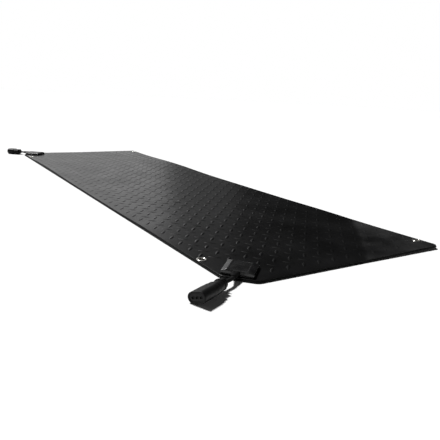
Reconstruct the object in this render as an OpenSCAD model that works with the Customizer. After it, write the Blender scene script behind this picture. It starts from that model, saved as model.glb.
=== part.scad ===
// Seedling heat mat: a heated rubber mat for propagation trays, with a power box on
// each left-hand corner. Power comes in at the inlet and is passed on at the outlet,
// so that mats can be chained. Millimetres; the mat lies on z = 0, centred on the
// origin, with its long side along Y.

/* [Mat] */
// Width of the base sheet
mat_w = 508; // [500:1:520]
// Length of the base sheet
mat_l = 1524; // [1500:1:1540]
// Thickness of the base sheet
base_t = 2.6; // [2.6:0.1:2.8]
// Thickness of the glass scrim and of the earth foil, each
liner_t = 0.2; // [0.1:0.05:0.3]
// Top of the top sheet above the floor
mat_t = 5; // [5:0.1:5.2]
// Width of the base sheet's rim that shows round the top sheet
rim = 1.2; // [1:0.1:2]
// Leg of the chamfer on the two box corners
chamfer = 42; // [38:1:44]
// Radius of the two plain corners
corner_r = 11; // [8:1:15]
// Radius that softens each end of a chamfer
chamfer_r = 16; // [10:1:20]

/* [Heating cable] */
// Diameter of the heating cable and of the link wires
wire_d = 1.4; // [1.2:0.1:1.4]
// Distance between the long runs of the cable
run_pitch = 34; // [32:1:35]
// Number of long runs, an even number
runs = 12; // [8:2:12]

/* [Grommets] */
// Diameter of the hole through a grommet
grommet_hole = 9.6; // [8:0.1:10]
// Outside diameter of a grommet
grommet_od = 19.5; // [17:0.5:20]
// Distance of the left grommets from the long edge
grommet_left_x = 12.5; // [12:0.5:16]
// Distance of the left grommets from the short edge
grommet_left_y = 116.5; // [110:0.5:140]
// Distance of the right grommets from the long edge
grommet_right_x = 13; // [12:0.5:20]
// Distance of the right grommets from the short edge
grommet_right_y = 40; // [20:1:60]

/* [Power boxes] */
// Length of a box, from its cord end inwards
box_l = 55; // [54:1:57]
// Width of a box at the mat
box_w = 54; // [52:1:54]
// Width of the flat top of the cover
panel_w = 35.5; // [35:0.5:38]
// Height of a box above the floor
box_top = 14.6; // [14.4:0.1:15]
// Angle of a box to the mat's short side
box_turn = 42; // [40:1:46]
// Length of the strain relief on the outlet box
outlet_relief_l = 20; // [20:0.5:21]
// Length of the strain relief on the inlet box
inlet_relief_l = 20; // [20:0.5:21]

/* [Cords and connectors] */
// Diameter of the cords
cord_d = 6.2; // [5.8:0.1:6.3]
// Height of the cords' axis above the floor
cord_z = 10.4; // [10.4:0.05:10.6]
// Length of the outlet connector
outlet_l = 62.5; // [60:0.5:65]
// Length of the inlet connector
inlet_l = 46; // [44:1:48]
// Width of the outlet connector's nose
nose_w = 31; // [30:0.5:31]
// Height of the outlet connector's nose
nose_h = 17.5; // [17:0.1:17.5]
// Distance between neighbouring contacts
contact_pitch = 7; // [6.5:0.1:7.5]
// Roll of the outlet connector, which its cord holds a little tilted
outlet_roll = 18; // [10:1:18]

/* [Hidden] */

$fn = 48;
eps = 0.01;

// Layers of the mat, from the floor up
wire_z = 1.75;
groove_w = wire_d + 0.2;
groove_z = wire_z - groove_w / 2;
riser_d = wire_d + 0.3;
scrim_z = base_t;
foil_z = base_t + liner_t;
top_z = base_t + 2 * liner_t;
liner_inset = 10;
liner_gap = 2;
plate_t = 1;
plate_z = base_t - plate_t;
plate_s = [4, 52];
plate_w = 44;

// Layers of a power box
tray_t = 2.2;
tray_floor = 1.2;
gasket_t = 0.4;
cover_z = mat_t + tray_t + gasket_t;
shoulder_z = box_top - 3;
cover_roof = 1.4;
cavity_w = 31;
wall = 2;
cord_v = 2;

// Risers that bring the wires up to the terminals start just above the groove's floor
riser_z = groove_z + 0.02;
riser_top = cord_z + 0.5;

// Places inside a box: s runs from the cord end inwards, v to the left of it
screw_s = [8, 48];
screw_v = 18;
screw_d = 2.4;
screw_head_d = 5;
screw_head_h = 1;
screw_bite = 2;
screw_play = 0.4;
core_d = 1.8;
core_v = [-4, 0, 4];
pole_v = [-8, -4, 0, 4, 8];
block_s = [14, 24];
block_w = 22;
block_z = mat_t + tray_floor + 0.02;
block_rise = 2;
link_s = 38;
cutout_s = [27, 37];
heater_s = 48;
heater_v = [-8, 0];
window_s = [34, 51];
window_w = 22;
notch_w = 28;

// Place of a box: the middle of its cord end, from the mat's centre
box_x = -mat_w / 2 + 22;
box_y = mat_l / 2 - 29;

// Grommet centres
grommets = [
  [-mat_w / 2 + grommet_left_x, -mat_l / 2 + grommet_left_y],
  [-mat_w / 2 + grommet_left_x, mat_l / 2 - grommet_left_y],
  [mat_w / 2 - grommet_right_x, -mat_l / 2 + grommet_right_y],
  [mat_w / 2 - grommet_right_x, mat_l / 2 - grommet_right_y]
];
barrel_d = grommet_hole + 1.4;
recess_d = grommet_od + 0.7;
recess_h = 1.1;
liner_hole = recess_d + 2 * liner_gap;
washer_z = 0.5;
washer_t = 0.6;

// Route of each cord, from the box to the connector. The outlet cord rises a little,
// because the tilted connector lies higher.
outlet_z = cord_z + 0.6;
outlet_route = [
  [-233.3, -731.5, cord_z], [-240.75, -738.2, cord_z], [-248.2, -744.9, cord_z],
  [-253.9, -748.95, cord_z + 0.2], [-260.35, -752.1, cord_z + 0.4], [-267.1, -754.7, outlet_z - 0.1],
  [-273.7, -757.4, outlet_z], [-281.9, -761.05, outlet_z]
];
outlet_heading = heading(outlet_route);
outlet_boot_l = 7;
inlet_route = [
  [-233.3, 731.5, cord_z], [-240.75, 738.2, cord_z], [-248.2, 744.9, cord_z],
  [-253.7, 750.1, cord_z], [-259.2, 755.5, cord_z], [-265.2, 761.7, cord_z]
];
inlet_heading = heading(inlet_route);
inlet_boot_l = 8;

// Connectors: each grip step is its start, its end, and what it adds to the nose's
// width and height
grip_l = 32;
outlet_steps = [[0, 4, -9, 1.5], [4, 14, -10, -1.5], [14, 23, -4.5, 0], [23, grip_l, -1.4, 0.2]];
collar_d = 16.5;
collar_t = 2;
insert_w = 25;
insert_h = 11.4;
insert_depth = 14;
insert_recess = 0.8;
nose_lip = 1;
socket_d = 3.4;
inlet_grip_l = 20;
inlet_steps = [[0, 4, 0.5, 1], [4, 11, -1, -0.4], [11, inlet_grip_l, 0, 0.3]];
shroud_w = 35.6;
shroud_h = 20.6;
shroud_in_w = 32;
shroud_in_h = 18.3;
shroud_floor = 2.5;
disc_t = 2;
seal_t = 1.2;
pin_d = 2.4;
pin_l = 13;

// Long runs of the heating cable, and the bends that join them
first_run_x = -180;
bend_r = run_pitch / 2;
run_end = mat_l / 2 - 44;
first_run_end = mat_l / 2 - 102;
return_y = mat_l / 2 - 20;
return_x = -160;
turn_r = 8;

rubber = [0.07, 0.07, 0.075];
hard_black = [0.04, 0.04, 0.045];
nickel = [0.8, 0.8, 0.78];
brass = [0.78, 0.62, 0.28];
copper = [0.72, 0.42, 0.25];

// ---------- outlines ----------

// Outline of the mat, drawn in by inset: two round corners and two soft chamfers
module mat_outline(inset) {
  w = mat_w / 2 - inset;
  l = mat_l / 2 - inset;
  c = chamfer - inset * 0.6;
  r = corner_r - inset;
  k = chamfer_r * tan(22.5);
  m = chamfer_r;
  union() {
    polygon([
      [w - r, -l], [w, -l + r], [w, l - r], [w - r, l],
      [-w + c + k, l], [-w + c - k * sqrt(0.5), l - k * sqrt(0.5)],
      [-w + k * sqrt(0.5), l - c + k * sqrt(0.5)], [-w, l - c - k],
      [-w, -l + c + k], [-w + k * sqrt(0.5), -l + c - k * sqrt(0.5)],
      [-w + c - k * sqrt(0.5), -l + k * sqrt(0.5)], [-w + c + k, -l]
    ]);
    for (e = [-1, 1]) {
      translate([w - r, e * (l - r)]) circle(r = r);
      translate([-w + c + k, e * (l - m)]) circle(r = m);
      translate([-w + m, e * (l - c - k)]) circle(r = m);
    }
  }
}

// Flat oval: two half circles joined by straight sides
module oval(w, h) {
  union() {
    square([w - h, h], center = true);
    for (e = [-1, 1]) translate([e * (w - h) / 2, 0]) circle(d = h);
  }
}

// ---------- placing ----------

// Puts children at a power box: side -1 is the outlet, side 1 the inlet
module at_box(side) {
  mirror([0, side > 0 ? 1 : 0, 0])
    translate([box_x, -box_y, 0]) rotate([0, 0, box_turn]) children();
}

// Puts children on a connector's axis, with z running from its rear to its face
module on_axis(rear, heading, roll) {
  translate(rear) rotate([0, 0, heading]) rotate([90, 0, 90]) rotate([0, 0, roll]) children();
}

module at_outlet() {
  on_axis(outlet_route[len(outlet_route) - 1], outlet_heading, outlet_roll) children();
}
module at_inlet() { on_axis(inlet_route[len(inlet_route) - 1], inlet_heading, 0) children(); }

// A straight round rod between two points
module rod(a, b, d) {
  v = b - a;
  length = norm(v);
  translate(a) rotate([0, acos(v[2] / length), atan2(v[1], v[0])])
    cylinder(d = d, h = length);
}

// ---------- cord tube ----------

// Angle to X of a route's last stretch
function heading(p) =
  let (v = p[len(p) - 1] - p[len(p) - 2]) atan2(v[1], v[0]);

// Direction of a route at its point i
function along(p, i) =
  let (a = p[max(i - 1, 0)], b = p[min(i + 1, len(p) - 1)]) (b - a) / norm(b - a);

// One upright ring of a tube: n points round point i of a route that is almost level
function ring(p, i, d, n) =
  let (t = along(p, i), side = [-t[1], t[0], 0] / norm([t[0], t[1]]))
  [for (k = [0 : n - 1])
    p[i] + d / 2 * (cos(360 * k / n) * side + sin(360 * k / n) * [0, 0, 1])];

// A closed tube of n sides along a route
module tube(p, d, n = 12) {
  rings = len(p);
  points = [for (i = [0 : rings - 1]) each ring(p, i, d, n)];
  sides = [
    for (i = [0 : rings - 2], k = [0 : n - 1])
      let (a = i * n + k, b = i * n + (k + 1) % n)
      each [[a, a + n, b], [b, a + n, b + n]]
  ];
  start_cap = [for (k = [0 : n - 1]) k];
  end_cap = [for (k = [n - 1 : -1 : 0]) (rings - 1) * n + k];
  polyhedron(points = points, faces = concat(sides, [start_cap, end_cap]));
}

// ---------- heating cable path ----------

function run_x(i) = first_run_x + i * run_pitch;
last_x = run_x(runs - 1);

// Row-frame place of a point (s, v) in the inlet box
function in_inlet(s, v) = [
  box_x + s * cos(box_turn) - v * sin(box_turn),
  box_y - s * sin(box_turn) - v * cos(box_turn)
];
heater_in = in_inlet(heater_s, heater_v[1]);
heater_out = in_inlet(heater_s, heater_v[0]);

// Lower and upper end of a long run
function run_low(i) = i < 2 ? -first_run_end : -run_end;
function run_high(i) = i == 0 ? heater_in[1] - turn_r : (i == runs - 1 ? return_y - turn_r : run_end);

// The link wires run straight along Y between the two boxes
function link_x(v) = in_inlet(link_s, v)[0];
link_end_y = in_inlet(link_s, 0)[1] + 3;

// The path is made of straights and bends. Their child is the cross-section, a flat
// shape centred on the path with its y axis upright.
module straight(a, b) {
  v = b - a;
  translate([a[0], a[1], wire_z]) rotate([0, 0, atan2(v[1], v[0])])
    rotate([90, 0, 90]) linear_extrude(norm(v)) children();
}

module bend(centre, r, from, sweep) {
  translate([centre[0], centre[1], wire_z]) rotate([0, 0, from])
    rotate_extrude(angle = sweep) translate([r, 0]) children();
}

module cable_path() {
  for (i = [0 : runs - 1]) straight([run_x(i), run_low(i)], [run_x(i), run_high(i)]) children();
  for (i = [0 : 2 : runs - 2])
    bend([run_x(i) + bend_r, run_low(i)], bend_r, 180, 180) children();
  for (i = [1 : 2 : runs - 3])
    bend([run_x(i) + bend_r, run_high(i)], bend_r, 0, 180) children();
  // From the inlet box to the first run
  straight(heater_in, [run_x(0) - turn_r, heater_in[1]]) children();
  bend([run_x(0) - turn_r, heater_in[1] - turn_r], turn_r, 0, 90) children();
  // From the last run back along the far edge to the inlet box
  bend([last_x - turn_r, return_y - turn_r], turn_r, 0, 90) children();
  straight([last_x - turn_r, return_y], [return_x + turn_r, return_y]) children();
  bend([return_x + turn_r, return_y - turn_r], turn_r, 90, 90) children();
  straight([return_x, return_y - turn_r], [return_x, heater_out[1] + turn_r]) children();
  bend([return_x - turn_r, heater_out[1] + turn_r], turn_r, 270, 90) children();
  straight([return_x - turn_r, heater_out[1]], heater_out) children();
}

// ---------- mat ----------

// Shape of the backing plate that clamps a box to the sheets, drawn in by inset, with
// a notch where the wires come up
module plate_outline(inset) {
  difference() {
    translate([plate_s[0] + inset, -plate_w / 2 + inset])
      square([plate_s[1] - plate_s[0] - 2 * inset, plate_w - 2 * inset]);
    translate([window_s[0] - inset, -notch_w / 2 - inset])
      square([plate_s[1] - window_s[0] + 1, notch_w + 2 * inset]);
  }
}

module screw_holes(d, z, h) {
  for (s = screw_s, e = [-1, 1]) translate([s, e * screw_v, z]) cylinder(d = d, h = h);
}

// Openings that every layer above the base sheet shares
module layer_openings(z, h) {
  for (side = [-1, 1]) at_box(side) {
    translate([window_s[0] + 1, -window_w / 2, z]) cube([window_s[1] - window_s[0] - 1, window_w, h]);
    screw_holes(screw_d + screw_play, z, h);
  }
  for (g = grommets) translate([g[0], g[1], z]) cylinder(d = barrel_d + 0.1, h = h);
}

module base_sheet() {
  color(rubber) difference() {
    linear_extrude(base_t) mat_outline(0);
    cable_path() translate([-groove_w / 2, groove_z - wire_z]) square([groove_w, base_t]);
    // One wide channel for the three link wires
    translate([link_x(4) - groove_w / 2, -link_end_y, groove_z])
      cube([link_x(-4) - link_x(4) + groove_w, 2 * link_end_y, base_t]);
    for (side = [-1, 1]) at_box(side) {
      translate([0, 0, plate_z]) linear_extrude(plate_t + 1) plate_outline(0);
      translate([window_s[0], -notch_w / 2, groove_z])
        cube([plate_s[1] - window_s[0], notch_w, base_t]);
      screw_holes(screw_head_d + screw_play, plate_z - screw_head_h - 0.1, 2);
    }
    for (g = grommets) translate([g[0], g[1], -1]) {
      cylinder(d = barrel_d + 0.1, h = base_t + 2);
      cylinder(d = recess_d, h = 1 + recess_h);
    }
  }
}

module heating_cable() {
  color(copper) union() {
    cable_path() circle(d = wire_d, $fn = 24);
    for (h = [heater_in, heater_out])
      translate([h[0], h[1], riser_z]) cylinder(d = riser_d, h = riser_top - riser_z);
  }
}

module link_wires() {
  color(copper) for (v = core_v) {
    x = link_x(v);
    y = in_inlet(link_s, v)[1];
    union() {
      straight([x, -y], [x, y]) circle(d = wire_d, $fn = 24);
      for (e = [-1, 1])
        translate([x, e * y, riser_z]) cylinder(d = riser_d, h = riser_top - riser_z);
    }
  }
}

module liner(z, shade) {
  color(shade) difference() {
    translate([0, 0, z]) linear_extrude(liner_t) mat_outline(liner_inset);
    layer_openings(z - 1, liner_t + 2);
    for (g = grommets) translate([g[0], g[1], z - 1]) cylinder(d = liner_hole, h = liner_t + 2);
  }
}

module glass_scrim() { liner(scrim_z, [0.85, 0.83, 0.76]); }
module earth_foil() { liner(foil_z, [0.78, 0.78, 0.8]); }

module top_sheet() {
  color(rubber) difference() {
    translate([0, 0, base_t]) linear_extrude(mat_t - base_t) mat_outline(rim);
    difference() {
      translate([0, 0, base_t - 1]) linear_extrude(1 + 2 * liner_t) mat_outline(liner_inset);
      for (g = grommets) translate([g[0], g[1], base_t]) cylinder(d = liner_hole, h = 1);
    }
    layer_openings(base_t - 1, mat_t);
  }
}

// Eyelets pressed through both sheets, with a rolled flange on each face
module grommet_eyelets() {
  ri = grommet_hole / 2;
  rb = barrel_d / 2;
  ro = grommet_od / 2;
  crown = mat_t + 1.1;
  color(nickel) for (g = grommets) translate([g[0], g[1], 0]) rotate_extrude()
    polygon([
      [ri, 0], [rb + 1.8, 0], [rb + 1.8, 0.45], [rb, 0.45], [rb, mat_t],
      [ro, mat_t], [ro, mat_t + 0.4], [ro - 0.9, mat_t + 0.9], [ro - 2.2, crown],
      [ri + 1.6, crown], [ri + 0.5, mat_t + 0.8], [ri, mat_t + 0.2]
    ]);
}

module grommet_washers() {
  color(nickel) for (g = grommets) translate([g[0], g[1], washer_z]) difference() {
    cylinder(d = grommet_od, h = washer_t);
    translate([0, 0, -1]) cylinder(d = barrel_d + 0.1, h = washer_t + 2);
  }
}

// ---------- power boxes ----------

module backing_plate(side) {
  color([0.6, 0.6, 0.62]) at_box(side) difference() {
    translate([0, 0, plate_z]) linear_extrude(plate_t) plate_outline(0.1);
    screw_holes(screw_d + 0.2, plate_z - 1, plate_t + 2);
  }
}

module cavity(z, h) {
  translate([wall, -cavity_w / 2, z]) cube([box_l - 2 * wall, cavity_w, h]);
}

module box_tray(side) {
  color(hard_black) at_box(side) difference() {
    translate([0, -box_w / 2, mat_t]) cube([box_l, box_w, tray_t]);
    cavity(mat_t + tray_floor, tray_t);
    translate([window_s[0] + 1, -window_w / 2, mat_t - 1])
      cube([window_s[1] - window_s[0] - 1, window_w, tray_t]);
    screw_holes(screw_d + screw_play, mat_t - 1, tray_t + 2);
  }
}

module box_gasket(side) {
  color([0.2, 0.2, 0.2]) at_box(side) difference() {
    translate([0.5, -box_w / 2 + 0.5, mat_t + tray_t]) cube([box_l - 1, box_w - 1, gasket_t]);
    cavity(mat_t + tray_t - 1, gasket_t + 2);
    screw_holes(screw_d + screw_play, mat_t + tray_t - 1, gasket_t + 2);
  }
}

// Cover: upright edges up to the shoulder, then bevels up to the flat top
module box_cover(side) {
  back_slope = 6.5;
  front_slope = 0.5;
  color(hard_black) at_box(side) difference() {
    union() {
      translate([0, -box_w / 2, cover_z]) cube([box_l, box_w, shoulder_z - cover_z]);
      hull() {
        translate([0, -box_w / 2, shoulder_z - eps]) cube([box_l, box_w, eps]);
        translate([front_slope, -panel_w / 2, box_top - eps])
          cube([box_l - front_slope - back_slope, panel_w, eps]);
      }
    }
    translate([wall + 0.5, -cavity_w / 2, cover_z - 1])
      cube([box_l - 2 * wall - back_slope, cavity_w, box_top - cover_roof - cover_z + 1]);
    // Lower pocket under the back bevel, over the last risers
    translate([wall + 0.5, -cavity_w / 2, cover_z - 1])
      cube([box_l - 2 * wall - 3, cavity_w, cord_z + 0.8 - cover_z + 1]);
    // Slot in the cord end for the three cores
    translate([-1, cord_v - 3.4, cover_z - 1]) cube([5, 6.8, cord_z + 1.2 - cover_z + 1]);
    screw_holes(screw_d + 0.02, cover_z - 1, screw_bite + 1.2);
  }
}

// Screws that come up from the backing plate into the cover
module box_screws(side) {
  color(nickel) at_box(side) for (s = screw_s, e = [-1, 1]) translate([s, e * screw_v, 0]) union() {
    translate([0, 0, plate_z - screw_head_h]) cylinder(d = screw_head_d, h = screw_head_h);
    translate([0, 0, plate_z - screw_head_h / 2])
      cylinder(d = screw_d, h = cover_z + screw_bite - plate_z + screw_head_h / 2);
  }
}

module terminal_block(side) {
  color([0.85, 0.85, 0.8]) at_box(side) difference() {
    translate([block_s[0], -block_w / 2, block_z])
      cube([block_s[1] - block_s[0], block_w, cord_z + block_rise - block_z]);
    for (v = pole_v) translate([block_s[0] - 1, v, cord_z]) rotate([0, 90, 0])
      cylinder(d = 2.9, h = block_s[1] - block_s[0] + 2);
  }
}

module terminals(side) {
  color(brass) at_box(side) for (v = pole_v) translate([block_s[0] + 0.5, v, cord_z]) rotate([0, 90, 0])
    difference() {
      cylinder(d = 2.8, h = block_s[1] - block_s[0] - 1);
      translate([0, 0, -1]) cylinder(d = 2, h = block_s[1] - block_s[0] + 1);
    }
}

// Insulated cores: from the cord's end to the block, and from the block to the risers
module cores(side) {
  color([0.15, 0.35, 0.2]) at_box(side) {
    for (i = [-1 : 1])
      rod([0.1, cord_v + i * 2.1, cord_z], [block_s[0] + 2, core_v[i + 1], cord_z], core_d);
    for (v = core_v)
      rod([block_s[1] - 2, v, cord_z], [link_s - riser_d / 2, v, cord_z], core_d);
  }
}

// Leads of the heating cable: the return straight back, the live one by the cut-out
module inlet_heater_leads() {
  color([0.15, 0.35, 0.2]) at_box(1) {
    rod([block_s[1] - 2, -8, cord_z], [heater_s - riser_d / 2, -8, cord_z], core_d);
    rod([block_s[1] - 2, 8, cord_z], [cutout_s[0] - 0.05, 8, cord_z], core_d);
    rod([cutout_s[1] + 0.05, 7.5, cord_z], [heater_s - 1.3, 2, cord_z], core_d);
  }
}

// Thermal cut-out in the heater's live lead: a small sealed can
module thermal_cutout() {
  color(nickel) at_box(1)
    translate([cutout_s[0], 8 - 2.25, cord_z - 1.5]) cube([cutout_s[1] - cutout_s[0], 4.5, 3]);
}

// Strain relief: flat and wide on the box, round where the cord leaves it
module strain_relief(side, length) {
  relief_h = 2 * (box_top - cord_z) - 0.1;
  color(rubber) at_box(side) difference() {
    hull() {
      translate([-1, cord_v - 7, cord_z - relief_h / 2]) cube([0.98, 14, relief_h]);
      translate([-length, cord_v, cord_z]) rotate([0, 90, 0]) cylinder(d = relief_h, h = 1, $fn = 32);
    }
    translate([-length - 1, cord_v, cord_z]) rotate([0, 90, 0])
      cylinder(d = cord_d + 0.3, h = length + 2);
  }
}

module outlet_backing_plate() { backing_plate(-1); }
module outlet_box_tray() { box_tray(-1); }
module outlet_box_gasket() { box_gasket(-1); }
module outlet_box_cover() { box_cover(-1); }
module outlet_box_screws() { box_screws(-1); }
module outlet_terminal_block() { terminal_block(-1); }
module outlet_terminals() { terminals(-1); }
module outlet_cores() { cores(-1); }
module outlet_strain_relief() { strain_relief(-1, outlet_relief_l); }

module inlet_backing_plate() { backing_plate(1); }
module inlet_box_tray() { box_tray(1); }
module inlet_box_gasket() { box_gasket(1); }
module inlet_box_cover() { box_cover(1); }
module inlet_box_screws() { box_screws(1); }
module inlet_terminal_block() { terminal_block(1); }
module inlet_terminals() { terminals(1); }
module inlet_cores() {
  cores(1);
  inlet_heater_leads();
}
module inlet_strain_relief() { strain_relief(1, inlet_relief_l); }

// ---------- cords ----------

module outlet_cord() { color(rubber) tube(outlet_route, cord_d); }
module inlet_cord() { color(rubber) tube(inlet_route, cord_d); }

// Tapered sleeve on the cord behind a connector
module boot(length) {
  difference() {
    union() {
      translate([0, 0, -length]) cylinder(d1 = cord_d + 2, d2 = cord_d + 7, h = length - 0.02);
      children();
    }
    translate([0, 0, -length - 1]) cylinder(d = cord_d + 0.3, h = length + 2);
  }
}

// Stepped rear of a connector
module grip(steps) {
  union() for (s = steps)
    translate([0, 0, s[0]]) linear_extrude(s[1] - s[0]) oval(nose_w + s[2], nose_h + s[3]);
}

// ---------- outlet connector ----------

// The outlet's boot ends in a finger collar
module outlet_boot() {
  color(rubber) at_outlet() boot(outlet_boot_l)
    translate([0, 0, -outlet_boot_l]) cylinder(d = collar_d, h = collar_t);
}

module outlet_grip() { color(rubber) at_outlet() grip(outlet_steps); }

module outlet_nose() {
  color(rubber) at_outlet() difference() {
    union() {
      translate([0, 0, grip_l]) linear_extrude(outlet_l - grip_l - nose_lip) oval(nose_w, nose_h);
      translate([0, 0, outlet_l - nose_lip - eps]) linear_extrude(nose_lip + eps)
        oval(nose_w - 1.6, nose_h - 1.6);
    }
    translate([0, 0, outlet_l - insert_depth]) linear_extrude(insert_depth + 1) oval(insert_w, insert_h);
  }
}

// Hard insert that carries the socket contacts, a little below the rim
module outlet_insert() {
  color(hard_black) at_outlet() difference() {
    translate([0, 0, outlet_l - insert_depth]) linear_extrude(insert_depth - insert_recess)
      oval(insert_w, insert_h);
    for (i = [-1 : 1]) translate([i * contact_pitch, 0, outlet_l - insert_depth + 1])
      cylinder(d = socket_d, h = insert_depth);
  }
}

module outlet_contacts() {
  color(brass) at_outlet() for (i = [-1 : 1])
    translate([i * contact_pitch, 0, outlet_l - insert_depth + 1.05]) difference() {
      cylinder(d = socket_d - 0.1, h = insert_depth - 4);
      translate([0, 0, 1]) cylinder(d = 2.5, h = insert_depth);
    }
}

// ---------- inlet connector ----------

module inlet_boot() { color(rubber) at_inlet() boot(inlet_boot_l); }

module inlet_grip() { color(rubber) at_inlet() grip(inlet_steps); }

// Shroud that goes over the next mat's outlet nose
module inlet_shroud() {
  color(rubber) at_inlet() difference() {
    translate([0, 0, inlet_grip_l]) linear_extrude(inlet_l - inlet_grip_l) oval(shroud_w, shroud_h);
    translate([0, 0, inlet_grip_l + shroud_floor]) linear_extrude(inlet_l) oval(shroud_in_w, shroud_in_h);
  }
}

// Hard disc that carries the pins, on the floor of the shroud
module inlet_insert() {
  color(hard_black) at_inlet() difference() {
    translate([0, 0, inlet_grip_l + shroud_floor]) linear_extrude(disc_t) oval(insert_w, insert_h);
    for (i = [-1 : 1]) translate([i * contact_pitch, 0, inlet_grip_l]) cylinder(d = pin_d + 0.1, h = 8);
  }
}

module inlet_pins() {
  color(brass) at_inlet() for (i = [-1 : 1])
    translate([i * contact_pitch, 0, inlet_grip_l + shroud_floor]) union() {
      cylinder(d = pin_d, h = pin_l - 1);
      translate([0, 0, pin_l - 1]) cylinder(d1 = pin_d, d2 = pin_d - 1, h = 1);
    }
}

module inlet_seal_ring() {
  color([0.35, 0.35, 0.36]) at_inlet() translate([0, 0, inlet_grip_l + shroud_floor])
    linear_extrude(seal_t) difference() {
      oval(shroud_in_w - 0.1, shroud_in_h - 0.1);
      oval(insert_w + 1, insert_h + 1);
    }
}

// ---------- parts ----------

base_sheet();
heating_cable();
link_wires();
glass_scrim();
earth_foil();
top_sheet();
grommet_eyelets();
grommet_washers();
outlet_backing_plate();
outlet_box_tray();
outlet_box_gasket();
outlet_box_cover();
outlet_box_screws();
outlet_terminal_block();
outlet_terminals();
outlet_cores();
outlet_strain_relief();
outlet_cord();
outlet_boot();
outlet_grip();
outlet_nose();
outlet_insert();
outlet_contacts();
inlet_backing_plate();
inlet_box_tray();
inlet_box_gasket();
inlet_box_cover();
inlet_box_screws();
inlet_terminal_block();
inlet_terminals();
inlet_cores();
thermal_cutout();
inlet_strain_relief();
inlet_cord();
inlet_boot();
inlet_grip();
inlet_shroud();
inlet_insert();
inlet_pins();
inlet_seal_ring();
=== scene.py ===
import math

import bmesh
import bpy
import numpy as np
from mathutils import Matrix, Vector


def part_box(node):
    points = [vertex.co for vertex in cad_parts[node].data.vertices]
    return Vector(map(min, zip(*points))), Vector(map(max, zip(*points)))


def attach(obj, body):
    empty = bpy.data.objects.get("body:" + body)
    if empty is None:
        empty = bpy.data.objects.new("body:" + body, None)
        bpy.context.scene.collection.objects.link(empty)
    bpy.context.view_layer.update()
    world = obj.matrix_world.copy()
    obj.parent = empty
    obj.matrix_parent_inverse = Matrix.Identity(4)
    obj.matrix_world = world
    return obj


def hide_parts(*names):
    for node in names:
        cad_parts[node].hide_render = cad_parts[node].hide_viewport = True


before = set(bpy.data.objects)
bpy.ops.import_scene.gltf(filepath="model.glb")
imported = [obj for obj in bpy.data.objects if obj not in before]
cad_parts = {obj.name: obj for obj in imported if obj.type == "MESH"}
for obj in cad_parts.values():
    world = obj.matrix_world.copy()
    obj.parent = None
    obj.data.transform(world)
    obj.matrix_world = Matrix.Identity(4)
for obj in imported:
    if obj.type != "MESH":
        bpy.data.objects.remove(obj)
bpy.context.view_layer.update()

MM = 0.001

# ---------------------------------------------------------------- sizes from the frame

BASE_LOW, BASE_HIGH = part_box("base_sheet")
TOP_LOW, TOP_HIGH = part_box("top_sheet")
MAT_W = BASE_HIGH.x - BASE_LOW.x
MAT_L = BASE_HIGH.y - BASE_LOW.y
BASE_T = BASE_HIGH.z
MAT_T = TOP_HIGH.z
RIM = TOP_LOW.x - BASE_LOW.x
EYELET_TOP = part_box("grommet_eyelets")[1].z

# Corners of the mat: round on the right, cut off and softened on the left, as in the CAD
CORNER_R = 11 * MM
CHAMFER = 42 * MM
CHAMFER_R = 16 * MM

# Places of the boxes and routes of the cords, as in the CAD
BOX_START = (-0.232, -0.733)
CORD_D = 6.2 * MM
CORD_V = 2 * MM
OUTLET_ROUTE = [
    (-0.2333, -0.7315, 0.0104), (-0.24075, -0.7382, 0.0104), (-0.2482, -0.7449, 0.0104),
    (-0.2539, -0.74895, 0.0106), (-0.26035, -0.7521, 0.0108), (-0.2671, -0.7547, 0.0109),
    (-0.2737, -0.7574, 0.011), (-0.2819, -0.76105, 0.011),
]
INLET_ROUTE = [
    (-0.2333, 0.7315, 0.0104), (-0.24075, 0.7382, 0.0104), (-0.2482, 0.7449, 0.0104),
    (-0.2537, 0.7501, 0.0104), (-0.2592, 0.7555, 0.0104), (-0.2652, 0.7617, 0.0104),
]
OUTLET_LENGTH = 62.5 * MM
INLET_LENGTH = 46 * MM
OUTLET_ROLL = math.radians(18)
BOX_TURN = math.radians(42)

EYELETS = [(-0.2415, -0.6455), (-0.2415, 0.6455), (0.241, -0.722), (0.241, 0.722)]
EYELET_HOLE = 9.6 * MM
EYELET_OD = 19.5 * MM
SHEET_HOLE = 11.1 * MM
WASHER_RECESS, WASHER_DEPTH = 20.2 * MM, 1.1 * MM

# ---------------------------------------------------------------- camera

CAMERA_PLACE = (-0.65316, -1.27215, 0.27405)
CAMERA_PITCH, CAMERA_YAW, CAMERA_ROLL = (math.radians(a) for a in (15.009, 30.937, 3.077))
CAMERA_FOCAL, CAMERA_SHIFT = 1.0545455, 0.0772727  # in widths of the picture
SENSOR_WIDTH = 36  # millimetres


def make_camera():
    """The photographer's view: low, from beyond the outlet corner."""
    cp, sp = math.cos(CAMERA_PITCH), math.sin(CAMERA_PITCH)
    cy, sy = math.cos(CAMERA_YAW), math.sin(CAMERA_YAW)
    cr, sr = math.cos(CAMERA_ROLL), math.sin(CAMERA_ROLL)
    ahead = Vector((sy * cp, cy * cp, -sp))
    level = Vector((cy, -sy, 0))
    above = level.cross(ahead)
    right = level * cr + above * sr
    up = above * cr - level * sr
    data = bpy.data.cameras.new("camera")
    data.sensor_width = SENSOR_WIDTH
    data.lens = CAMERA_FOCAL * SENSOR_WIDTH
    data.shift_x = CAMERA_SHIFT
    data.clip_start = 0.01
    data.clip_end = 100
    camera = bpy.data.objects.new("camera", data)
    camera.matrix_world = Matrix((right, up, -ahead)).transposed().to_4x4()
    camera.matrix_world.translation = Vector(CAMERA_PLACE)
    bpy.context.scene.collection.objects.link(camera)
    bpy.context.scene.camera = camera


make_camera()

# ---------------------------------------------------------------- small tools


def smoothstep(a, b, x):
    """Zero at a, one at b, and a smooth rise between them."""
    t = min(1.0, max(0.0, (x - a) / (b - a)))
    return t * t * (3 - 2 * t)


def hump(x, middle, width):
    """A smooth rise and fall round middle, zero beyond width."""
    t = abs(x - middle) / width
    return 0.0 if t >= 1 else (1 - t * t) ** 2


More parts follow.
